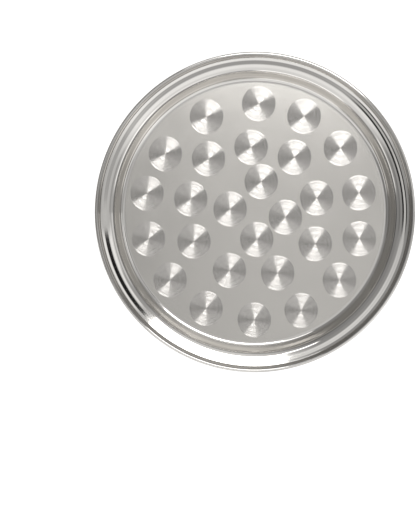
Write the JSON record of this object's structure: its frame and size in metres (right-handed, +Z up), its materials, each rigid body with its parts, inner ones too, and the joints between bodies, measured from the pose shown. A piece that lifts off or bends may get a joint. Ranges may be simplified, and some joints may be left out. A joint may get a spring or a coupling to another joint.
{
  "type": "round serving tray",
  "caption": "Shallow round steel serving tray with a flat swirl-burnished base, flared wall, stepped shoulder and a rolled, wired rim.",
  "frame": {"origin": "middle of the base's underside, on the surface that the tray stands on", "axes": "+Z up along the tray's axis; +X and +Y level, the tray being round"},
  "size_m": [0.2476, 0.2476, 0.0206],
  "materials": {
    "pan_steel": "stainless steel: polished wall and rim, satin base with round burnished swirl marks, satin underside",
    "wire_steel": "plain drawn steel wire, hidden inside the rolled rim"
  },
  "bodies": {
    "root": {"tray_pan": "pan_steel", "rim_wire": "wire_steel"}
  },
  "joints": []
}
